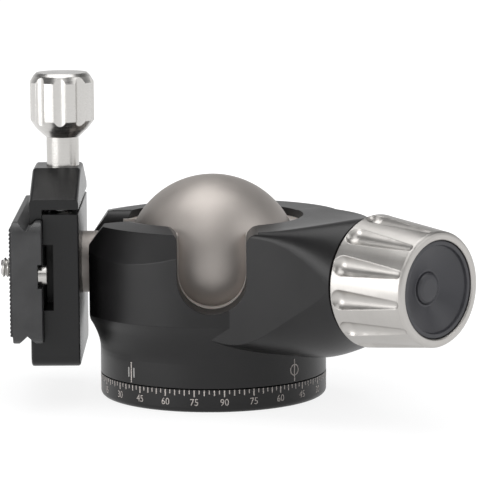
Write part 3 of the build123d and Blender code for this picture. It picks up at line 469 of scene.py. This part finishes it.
# --- floor, light and camera -------------------------------------------------------------------
FLOOR_HALF = 4.0        # metres
FLOOR_GREY = 0.78       # how the floor lights the object
SHADOW_GREY = 0.22      # how much light the seen floor takes, which gives the shadow its depth
FLOOR_GLOW = (0.05, 0.25), (0.84, 1.02)     # distance from the pan axis, and how white the floor is
SKY_SEEN = (0.12, 0.65), (1.05, 0.16)       # how steeply a ray climbs, and the strength that it meets
SKY_LIGHT = (0.95, 0.97, 1.0, 1), 0.30      # colour and strength of the sky as a light


def make_floor():
    """White ground that keeps the object's shadow close to it and turns pure white further out."""
    corners = [(x * FLOOR_HALF, y * FLOOR_HALF, 0) for x, y in ((-1, -1), (1, -1), (1, 1), (-1, 1))]
    mesh = bpy.data.meshes.new("floor")
    mesh.from_pydata(corners, [], [(0, 1, 2, 3)])
    material = bpy.data.materials.new("floor")
    material.use_nodes = True
    n = Tree(material.node_tree)
    reach = n.vector("LENGTH", n.add("ShaderNodeTexCoord").outputs["Object"])
    glow = n.add("ShaderNodeEmission")
    n.link(n.remap(reach, *FLOOR_GLOW, "SMOOTHSTEP"), glow.inputs["Strength"])
    both = n.add("ShaderNodeAddShader")
    n.link(n.diffuse(SHADOW_GREY), both.inputs[0])
    n.link(glow.outputs[0], both.inputs[1])
    output = n.add("ShaderNodeOutputMaterial")
    mixed = n.mix_shaders(n.seen_directly(), n.diffuse(FLOOR_GREY), both.outputs[0])
    n.link(mixed, output.inputs["Surface"])
    mesh.materials.append(material)
    obj = bpy.data.objects.new("floor", mesh)
    bpy.context.collection.objects.link(obj)


def make_world():
    """White at the horizon and below it, darker overhead, and dim as a light."""
    world = bpy.data.worlds.new("studio")
    bpy.context.scene.world = world
    world.use_nodes = True
    n = Tree(world.node_tree)
    split = n.add("ShaderNodeSeparateXYZ")
    n.link(n.add("ShaderNodeTexCoord").outputs["Generated"], split.inputs[0])
    seen = n.add("ShaderNodeBackground")
    n.link(n.remap(split.outputs["Z"], *SKY_SEEN, "SMOOTHSTEP"), seen.inputs["Strength"])
    dim = n.add("ShaderNodeBackground")
    dim.inputs["Color"].default_value, dim.inputs["Strength"].default_value = SKY_LIGHT
    output = n.add("ShaderNodeOutputWorld")
    mixed = n.mix_shaders(n.seen_directly(), dim.outputs[0], seen.outputs[0])
    n.link(mixed, output.inputs["Surface"])


MIDDLE = Vector((0.01, 0, 0.045))       # what the lamps point at
LAMPS = {       # name: place, width and height in metres, and watts
    "softbox_left": ((-0.80, -0.55, 0.22), 0.75, 0.4, 3.9),
    "softbox_right": ((0.80, -0.35, 0.70), 0.6, 0.6, 2.4),
    "overhead": ((-0.10, 0.10, 1.00), 0.8, 0.8, 5.4),
    "softbox_front": ((-0.15, -0.70, 0.95), 0.6, 0.6, 1.6),
}


def make_lamp(name, place, width, height, watts):
    data = bpy.data.lights.new(name, "AREA")
    data.shape = "RECTANGLE"
    data.size = width
    data.size_y = height
    data.energy = watts
    obj = bpy.data.objects.new(name, data)
    obj.location = place
    obj.rotation_mode = "QUATERNION"
    obj.rotation_quaternion = (MIDDLE - Vector(place)).to_track_quat("-Z", "Y")
    bpy.context.collection.objects.link(obj)


PITCH, ROLL = math.radians(8.20), 0.0075        # the camera looks down, and leans a little
AIM = Vector((0.00871, 0, 0.04863))             # what it looks at, one metre off
FOCAL_PIXELS, PICTURE_PIXELS, SENSOR_MM = 3159.0, 480.0, 36.0


def make_camera():
    data = bpy.data.cameras.new("camera")
    data.sensor_width = SENSOR_MM
    data.lens = FOCAL_PIXELS / PICTURE_PIXELS * SENSOR_MM
    data.clip_start, data.clip_end = 0.05, 20.0
    obj = bpy.data.objects.new("camera", data)
    bpy.context.collection.objects.link(obj)
    forward = Vector((0, math.cos(PITCH), -math.sin(PITCH)))
    level = Vector(X_AXIS)
    upright = level.cross(forward)
    right = level * math.cos(ROLL) - upright * math.sin(ROLL)
    up = upright * math.cos(ROLL) + level * math.sin(ROLL)
    rotation = Matrix((right, up, -forward)).transposed()
    obj.matrix_world = Matrix.Translation(AIM - forward) @ rotation.to_4x4()
    bpy.context.scene.camera = obj


make_floor()
make_world()
for name, settings in LAMPS.items():
    make_lamp(name, *settings)
make_camera()

bpy.context.scene.view_settings.view_transform = "Standard"
